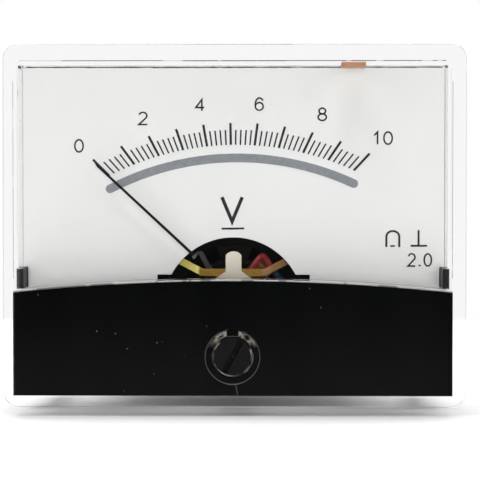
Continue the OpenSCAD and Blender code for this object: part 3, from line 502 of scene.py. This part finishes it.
# %% Bevelled copies
def bevelled(node, width):
    """A copy of the solid whose edges sharper than 30 degrees are rounded to the width."""
    solid = frame["nodes"][node]
    skin = bpy.data.objects.new(node + "_rounded", solid.data.copy())
    bpy.context.collection.objects.link(skin)
    for picked in bpy.context.selected_objects:
        picked.select_set(False)
    bpy.context.view_layer.objects.active = skin
    skin.select_set(True)
    bpy.ops.object.mode_set(mode="EDIT")
    bpy.ops.mesh.select_all(action="SELECT")
    bpy.ops.mesh.remove_doubles(threshold=0.000002)
    bpy.ops.mesh.dissolve_limited(angle_limit=math.radians(0.5))
    bpy.ops.object.mode_set(mode="OBJECT")
    rounding = skin.modifiers.new("rounded edges", "BEVEL")
    rounding.width = width
    rounding.segments = 2
    rounding.limit_method = "ANGLE"
    rounding.angle_limit = math.radians(30.0)
    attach(skin, body_of[node])
    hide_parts(node)
    return skin


bodies = frame["record"]["behaviour"]["bodies"]
body_of = {node: body for body, nodes in bodies.items() for node in nodes}
rounded = {"front_cover": 0.08 * MM, "front_apron": 0.1 * MM, "zero_lever": 0.06 * MM,
           "front_bridge": 0.07 * MM,
           "pointer_stem": 0.04 * MM, "zero_screw": 0.04 * MM, "dial_plate": 0.04 * MM}
for node, width in rounded.items():
    bevelled(node, width)
print("rounded the edges of", sorted(rounded))


# %% [markdown]
# ## The lip above the apron
# The clear front ends above the apron in a small lip, whose step catches the light from above; a painted
# highlight stands for that light. It is a half round bead: points of a half turn t, at depth 0.4 LIP sin t
# and height 0.5 LIP (1 - cos t), carried along the arch. The arch is a circle of radius r through the apron's
# top corners and its crown, so a chord of half width w and rise h gives r = (w^2 + h^2) / 2 h.


# %% Lip
def ground_edge():
    """A painted highlight along the lip: light grey in stretches, darker grey between them."""
    finish = Finish("ground edge", (0.8, 0.8, 0.8), Roughness=0.35)
    breaks = finish.noise(260.0, 3.0, 0.7, stretch=(1.0, 0.2, 0.2)).above(0.45)
    finish.put("Base Color", finish.mix(breaks, (0.16, 0.16, 0.16), (0.4, 0.4, 0.39)))
    return finish


def mesh_piece(name, corners, faces, body, slot, smooth=False, finish=None):
    """A mesh from an array of corners and its faces, finished and carried by a body."""
    mesh = bpy.data.meshes.new(name)
    mesh.from_pydata(corners.tolist(), [], faces.tolist() if hasattr(faces, "tolist") else faces)
    mesh.update()
    mesh.polygons.foreach_set("use_smooth", np.full(len(mesh.polygons), smooth))
    mesh.materials.append(finishes[finish or slot].material)
    piece = bpy.data.objects.new(name, mesh)
    bpy.context.collection.objects.link(piece)
    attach(piece, body)
    return piece


ARCH_RISE = 1.4 * MM
LIP = 0.22 * MM
SECTIONS, POINTS = 81, 6
finishes["ground_edge"] = ground_edge()
half_wide = (apron_high.x - apron_low.x) / 2
arch_r = (half_wide ** 2 + ARCH_RISE ** 2) / (2 * ARCH_RISE)
along = np.linspace(-half_wide, half_wide, SECTIONS)
arch_z = apron_high.z - arch_r + np.sqrt(arch_r ** 2 - along ** 2)
half_turn = np.linspace(0.0, math.pi, POINTS)
lip_y = window_front - 0.4 * LIP * np.sin(half_turn)
lip_z = LIP / 2 * (1.0 - np.cos(half_turn))
lip_corners = np.stack([np.repeat(along, POINTS), np.tile(lip_y, SECTIONS),
                        np.repeat(arch_z, POINTS) + np.tile(lip_z, SECTIONS)], axis=1)
section, point = np.meshgrid(np.arange(SECTIONS - 1), np.arange(POINTS - 1), indexing="ij")
first = (section * POINTS + point).reshape(-1)
lip_faces = np.stack([first, first + 1, first + POINTS + 1, first + POINTS], axis=1)
# Painted highlight: the bead carries the light that the lip's step catches from above.
mesh_piece("cover_lip", lip_corners, lip_faces, "case", "clear_polystyrene", smooth=True,
           finish="ground_edge")
print("lip", round(2 * half_wide / MM, 1), "mm long")

# %% [markdown]
# ## The window's outer edges
# The sharp edges of the clear box throw the light aside, and painted shade draws them as fine dark lines,
# broken here and there. Each is a strip on the slanted face between the window's front (depth 0) and its side
# (depth EDGE): at the top it runs along x, at the sides along z, and it stops short of the round corners.


# %% Window edges
def edge_shade():
    """Painted shade: dark grey, paler in broken stretches."""
    finish = Finish("shaded edge", (0.05, 0.05, 0.05), Roughness=0.5)
    finish.put("Specular IOR Level", 0.2)
    breaks = finish.noise(180.0, 3.0, 0.7, stretch=(1.0, 0.2, 1.0)).above(0.56)
    finish.put("Base Color", finish.mix(breaks, (0.03, 0.03, 0.03), (0.42, 0.42, 0.42)))
    return finish


EDGE, CORNER = 0.1 * MM, 0.9 * MM
finishes["edge_shade"] = edge_shade()
edge_x = apron_high.x
edge_z = flange_middle + edge_x - (cover_high.x - cover_low.x) / 2 + (cover_high.z - cover_low.z) / 2
behind = window_front + EDGE
strips = [(-edge_x + CORNER, window_front, edge_z - EDGE), (edge_x - CORNER, window_front, edge_z - EDGE),
          (edge_x - CORNER, behind, edge_z), (-edge_x + CORNER, behind, edge_z)]
side_low, side_high = apron_high.z + 0.4 * MM, edge_z - 2.6 * MM
for side in (-1.0, 1.0):
    inner, outer = side * (edge_x - 0.6 * EDGE), side * edge_x
    strips += [(inner, window_front, side_low), (outer, behind, side_low),
               (outer, behind, side_high), (inner, window_front, side_high)]
strip_faces = np.arange(len(strips)).reshape(-1, 4)
# Painted shade: dark strips stand for the light that the window's sharp edges throw aside.
mesh_piece("window_edges", np.array(strips), strip_faces, "case", "clear_polystyrene", finish="edge_shade")
print("window edge at z", round(edge_z / MM, 2), "mm, x", round(edge_x / MM, 2), "mm")

# %% [markdown]
# ## Printing on the dial
# The marks of the scale are solids already. The letter of the unit and the small signs of the instrument
# class are printed beside them. Strokes are ribbons: each is a grid with one parameter along the path and
# one across it. Their points are in millimetres, to the right of the barrel's axis and up from the middle
# of the flange.


# %% Strokes
def ribbon(points, width):
    """Corners and faces of a flat stroke. Along the path each corner lies half the width to the left or
    right of the point, on the line that halves the angle between the two neighbouring pieces of path."""
    path = np.asarray(points, float)
    ahead = np.roll(path, -1, axis=0) - path
    behind = path - np.roll(path, 1, axis=0)
    ahead[-1] = behind[-1]
    behind[0] = ahead[0]
    ahead /= np.linalg.norm(ahead, axis=1, keepdims=True)
    behind /= np.linalg.norm(behind, axis=1, keepdims=True)
    middle = ahead + behind
    middle /= np.linalg.norm(middle, axis=1, keepdims=True)
    side = np.stack([-middle[:, 1], middle[:, 0]], axis=1)
    reach = width / 2 / np.maximum(0.35, np.sum(middle * ahead, axis=1, keepdims=True))
    corners = np.concatenate([path + side * reach, path - side * reach])
    count = len(path)
    start = np.arange(count - 1)
    faces = np.stack([start, start + count, start + 1 + count, start + 1], axis=1)
    return corners, faces


INK = 0.03 * MM


def printed(name, strokes, width):
    """Strokes in millimetres from the middle of the flange, as one piece, a layer of ink before the
    dial."""
    corners, faces, total = [], [], 0
    for stroke in strokes:
        flat, quads = ribbon(stroke, width)
        corners.append(np.stack([flat[:, 0] * MM, np.full(len(flat), dial_face - INK),
                                 flat[:, 1] * MM + flange_middle], axis=1))
        faces.append(quads + total)
        total += len(flat)
    return mesh_piece(name, np.concatenate(corners), np.concatenate(faces), "case", "print_black")


arch = np.linspace(0.0, math.pi, 25)
horseshoe = np.stack([20.24 - 0.82 * np.cos(arch), -1.2 + 0.72 * np.sin(arch)], axis=1)
coil_sign = np.concatenate([[[19.42, -2.52]], horseshoe, [[21.06, -2.52]]])
printed("letter_V", [[[-1.46, 3.82], [-0.17, 0.72], [1.12, 3.82]]], 0.44)
printed("direct_current_bar", [[[-1.5, -0.2], [1.37, -0.16]]], 0.26)
printed("moving_coil_sign", [coil_sign], 0.27)
printed("moving_coil_bar", [[[19.92, -2.38], [20.5, -2.38]]], 0.2)
printed("upright_sign", [[[23.5, -0.36], [23.5, -2.36]], [[22.5, -2.36], [24.6, -2.36]]], 0.25)
print("printed the letter and signs")

# %% [markdown]
# ## Figures
# The digits are drawn with the same ribbons, along ovals and straight lines. `DIGITS` holds the middle
# line of each digit in a box from -0.5 to 0.5 both ways, and `figure` stretches it to its size and place.


# %% Figures
def oval(x, z, wide, high, start=0.0, end=360.0):
    """Points x + wide cos a and z + high sin a of an ellipse, for angles a from start to end in
    degrees."""
    turn = np.radians(np.linspace(start, end, 33))
    return np.stack([x + wide * np.cos(turn), z + high * np.sin(turn)], axis=1)


DIGITS = {
    "0": [oval(0, 0, 0.5, 0.5)],
    "1": [[[-0.3, 0.22], [0.1, 0.5], [0.1, -0.5]]],
    "2": [np.concatenate([oval(0, 0.22, 0.46, 0.28, 165, -38), [[-0.5, -0.5], [0.5, -0.5]]])],
    "4": [[[0.22, -0.5], [0.22, 0.5], [-0.5, -0.2], [0.5, -0.2]]],
    "6": [oval(0, -0.19, 0.47, 0.31), oval(0.03, 0, 0.5, 0.5, 35, 192)],
    "8": [oval(0, 0.27, 0.4, 0.23), oval(0, -0.23, 0.49, 0.27)],
    ".": [[[-0.14, -0.46], [0.14, -0.46]]],
}


STROKE = 0.21


def figure(digits, x, z, step=0.0, wide=1.27, high=1.76):
    """Digits centred at x, z in millimetres from the middle of the flange, each a step beside the
    last."""
    paths = []
    for place, digit in enumerate(digits):
        middle = [x + (place - (len(digits) - 1) / 2) * step, z]
        paths += [np.asarray(path) * [wide - STROKE, high - STROKE] + middle for path in DIGITS[digit]]
    printed("figure_" + digits.replace(".", "_"), paths, STROKE)


figure("0", -19.64, 10.33)
figure("2", -11.49, 13.81)
figure("4", -4.24, 15.49, high=1.66)
figure("6", 3.28, 15.62)
figure("8", 11.27, 14.32)
figure("10", 18.89, 11.31, step=1.44)
figure("2.0", 23.66, -4.15, step=1.025, wide=1.12)
print("printed the figures")


# %% [markdown]
# ## Screw threads
# The mounting studs and the terminals are threaded. A thread is a surface of two parameters, the angle
# round the axis and the height: the radius falls and rises with a triangle wave of the height, which one
# turn of the angle shifts by one pitch. The threaded pieces stand for the plain solids.


# %% Threads
def turned_grid(radius, height, angle, axis_x, axis_z):
    """Corners of a surface round an axis along Y, from arrays of radius, height and angle."""
    return np.stack([axis_x + radius * np.cos(angle), height, axis_z + radius * np.sin(angle)], axis=-1)


def closed_tube_faces(rows, around):
    """Faces of a grid that closes round the axis, with a flat cap at each end."""
    row, column = np.meshgrid(np.arange(rows - 1), np.arange(around), indexing="ij")
    here, beside = row * around + column, row * around + (column + 1) % around
    quads = np.stack([here, here + around, beside + around, beside], axis=-1).reshape(-1, 4).tolist()
    first, last = list(range(around)), list(range((rows - 1) * around, rows * around))
    return quads + [first, last[::-1]]


def threaded(x, z, profile, start, end, pitch, depth):
    """A turned stud. The profile gives [height, radius] points; between start and end the radius also
    loses a triangle wave of the given depth, one pitch long, which climbs once per turn."""
    around = 32
    steps = []
    for (low, _), (high, _) in zip(profile[:-1], profile[1:]):
        count = int(abs(high - low) / pitch * 8) if start <= low < end else 2
        steps.append(np.linspace(low, high, max(2, count), endpoint=False))
    heights = np.concatenate([*steps, [profile[-1][0]]])
    angle = np.linspace(0, 2 * math.pi, around, endpoint=False)
    grid_h, grid_a = np.meshgrid(heights, angle, indexing="ij")
    base = np.interp(grid_h, [p[0] for p in profile], [p[1] for p in profile])
    phase = (grid_h / pitch - grid_a / (2 * math.pi)) % 1.0
    ramp = np.clip((grid_h - start) / pitch, 0, 1) * np.clip((end - grid_h) / pitch, 0, 1)
    radius = base - depth * ramp * np.abs(2 * phase - 1)
    corners = turned_grid(radius * MM, grid_h * MM, grid_a, x, z).reshape(-1, 3)
    return corners, closed_tube_faces(len(heights), around)


def joined(name, parts, body, slot):
    """Several threaded pieces as one smooth mesh."""
    corners, faces, total = [], [], 0
    for points, polygons in parts:
        corners.append(points)
        faces += [[corner + total for corner in face] for face in polygons]
        total += len(points)
    return mesh_piece(name, np.concatenate(corners), faces, body, slot, smooth=True)


studs_low, studs_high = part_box("mounting_studs")
# Heights and radii of both profiles are in millimetres. TIP is the very small radius where a cap closes.
TIP = 0.02
stud_r = 1.5
head_r = 1.9
stud_x = studs_high.x - head_r * MM
stud_z = (studs_high.z - studs_low.z) / 2 - head_r * MM
stud_middle = (studs_high.z + studs_low.z) / 2
stud_low, stud_top = studs_low.y / MM, studs_high.y / MM
stud_profile = [[stud_low, TIP], [stud_low + 0.001, head_r], [stud_low + 1.0, head_r],
                [stud_low + 1.001, stud_r + 0.2], [0.0, stud_r + 0.2], [0.2, stud_r],
                [stud_top - 0.3, stud_r], [stud_top, stud_r - 0.3], [stud_top, TIP]]
studs = joined("threaded_mounting_studs", [
    threaded(sx * stud_x, stud_middle + sz * stud_z, stud_profile, 0.2, stud_top - 0.3,
             pitch=0.5, depth=0.27)
    for sx in (-1, 1) for sz in (-1, 1)], "case", "zinc_steel")
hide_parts("mounting_studs")

posts_low, posts_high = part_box("terminal_studs")
post_r = 2.0
collar_r = 3.4
post_x = posts_high.x - collar_r * MM
post_low, post_top = posts_low.y / MM, posts_high.y / MM
post_profile = [[post_low, TIP], [post_low + 0.001, collar_r], [post_low + 1.2, collar_r],
                [post_low + 1.201, post_r], [post_top - 0.4, post_r], [post_top, post_r - 0.4],
                [post_top, TIP]]
posts = joined("threaded_terminals", [
    threaded(sx * post_x, 0.0, post_profile, post_low + 1.3, post_top - 0.4, pitch=0.7, depth=0.38)
    for sx in (-1, 1)], "case", "brass")
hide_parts("terminal_studs")
print("threaded", len(studs.data.vertices) + len(posts.data.vertices), "corners")

# %% [markdown]
# ## The studio
# The meter stands on a white table in front of a white backdrop. The backdrop also glows by itself for
# rays that come through the plastic or from a reflection, so that the clear box stays bright.


# %% Floor and backdrop
def stage_sheet(name, corners, finish):
    """A flat sheet that belongs to the studio and not to the meter."""
    mesh = bpy.data.meshes.new(name)
    mesh.from_pydata(corners, [], [[0, 1, 2, 3]])
    mesh.materials.append(finish.material)
    piece = bpy.data.objects.new(name, mesh)
    bpy.context.collection.objects.link(piece)
    return piece


def glowing_backdrop():
    """White by itself for the rays that see it through the plastic or in a reflection."""
    finish = Finish("white backdrop", (0.9, 0.9, 0.9), Roughness=1.0)
    glow = finish.node("Emission", Color=(1.0, 1.0, 1.0), Strength=1.0)
    finish.give_way(finish.ray("Transmission", "Glossy"), glow)
    return finish


floor_finish = Finish("white table", (0.95, 0.95, 0.95), Roughness=0.9)
floor_finish.put("Specular IOR Level", 0.0)
TABLE_WIDE, TABLE_FRONT, TABLE_BACK, BACKDROP_TOP = 0.6, -0.1, 0.16, 0.5
stage_sheet("floor", [(-TABLE_WIDE, TABLE_FRONT, table_z), (TABLE_WIDE, TABLE_FRONT, table_z),
                      (TABLE_WIDE, TABLE_BACK, table_z), (-TABLE_WIDE, TABLE_BACK, table_z)], floor_finish)
backdrop = stage_sheet("backdrop", [(-TABLE_WIDE, TABLE_BACK, table_z), (TABLE_WIDE, TABLE_BACK, table_z),
                                    (TABLE_WIDE, TABLE_BACK, BACKDROP_TOP),
                                    (-TABLE_WIDE, TABLE_BACK, BACKDROP_TOP)], glowing_backdrop())
# The white world stands in for it, so the meter can be seen from behind too.
backdrop.visible_camera = False
print("floor at z", round(table_z / MM, 2), "mm")

# %% [markdown]
# ## Light
# The world is white for the camera and almost dark for all other rays, so that the black apron looks
# black. The lamps are large and soft: one above in front, one above behind, one at each side, and a fill
# in front, which is hidden from reflections and from rays through the plastic. `soft_lamp` turns each one
# towards a point: tilt is its angle from straight down, and turn is its angle round the vertical.


# %% World and lamps
world = bpy.data.worlds.new("studio")
bpy.context.scene.world = world
world.use_nodes = True
sky = world.node_tree
back = sky.nodes["Background"]
path = sky.nodes.new("ShaderNodeLightPath")
seen = Wire(path.outputs["Is Camera Ray"])
mirrored = Wire(path.outputs["Is Glossy Ray"])
join(sky, back.inputs["Strength"], 0.05 + seen * 0.95 - mirrored * 0.02)
back.inputs["Color"].default_value = (1.0, 1.0, 1.0, 1.0)


def soft_lamp(name, place, size, power, aim=(0.0, 0.0, 0.0)):
    """A rectangular lamp at a place in metres, of a size in metres and a power in watts, that faces a
    point."""
    light = bpy.data.lights.new(name, "AREA")
    light.shape = "RECTANGLE"
    light.size, light.size_y = size
    light.energy = power
    lamp = bpy.data.objects.new(name, light)
    bpy.context.collection.objects.link(lamp)
    lamp.location = place
    right, ahead, up = np.array(aim) - np.array(place)
    tilt = math.atan2(math.hypot(right, ahead), -up)
    turn = math.atan2(ahead, right) - math.pi / 2
    lamp.rotation_euler = (tilt, 0.0, turn)
    return lamp


soft_lamp("lamp above", (-0.05, -0.16, 0.62), (0.42, 0.3), 2.2)
soft_lamp("lamp behind", (0.0, 0.14, 0.6), (0.42, 0.2), 2.2)
soft_lamp("lamp left", (-0.6, -0.42, 0.24), (0.4, 0.4), 1.4)
soft_lamp("lamp right", (0.6, -0.42, 0.24), (0.4, 0.4), 1.2)
front_fill = soft_lamp("lamp front", (0.05, -0.7, 0.02), (0.4, 0.3), 2.4)
front_fill.visible_glossy = False
front_fill.visible_transmission = False
print("lamps placed")

# %% [markdown]
# ## Camera
# The camera stands a little above the middle and right of it, with a long lens, and is turned slightly
# left and down to bring the meter to the middle of the picture.

# %% Camera
TILT_DOWN, TURN_LEFT = 1.89, 1.04
camera_data = bpy.data.cameras.new("camera")
camera_data.sensor_width = 36.0
camera_data.lens = 161.5
camera_data.clip_start = 0.02
camera_data.clip_end = 20.0
camera = bpy.data.objects.new("camera", camera_data)
bpy.context.collection.objects.link(camera)
camera.location = (5.8 * MM, -280.0 * MM, flange_middle + 7.4 * MM)
camera.rotation_euler = (math.radians(90.0 - TILT_DOWN), 0.0, math.radians(TURN_LEFT))
bpy.context.scene.camera = camera
bpy.context.scene.view_settings.view_transform = "Standard"
print("camera at", [round(v / MM, 1) for v in camera.location])
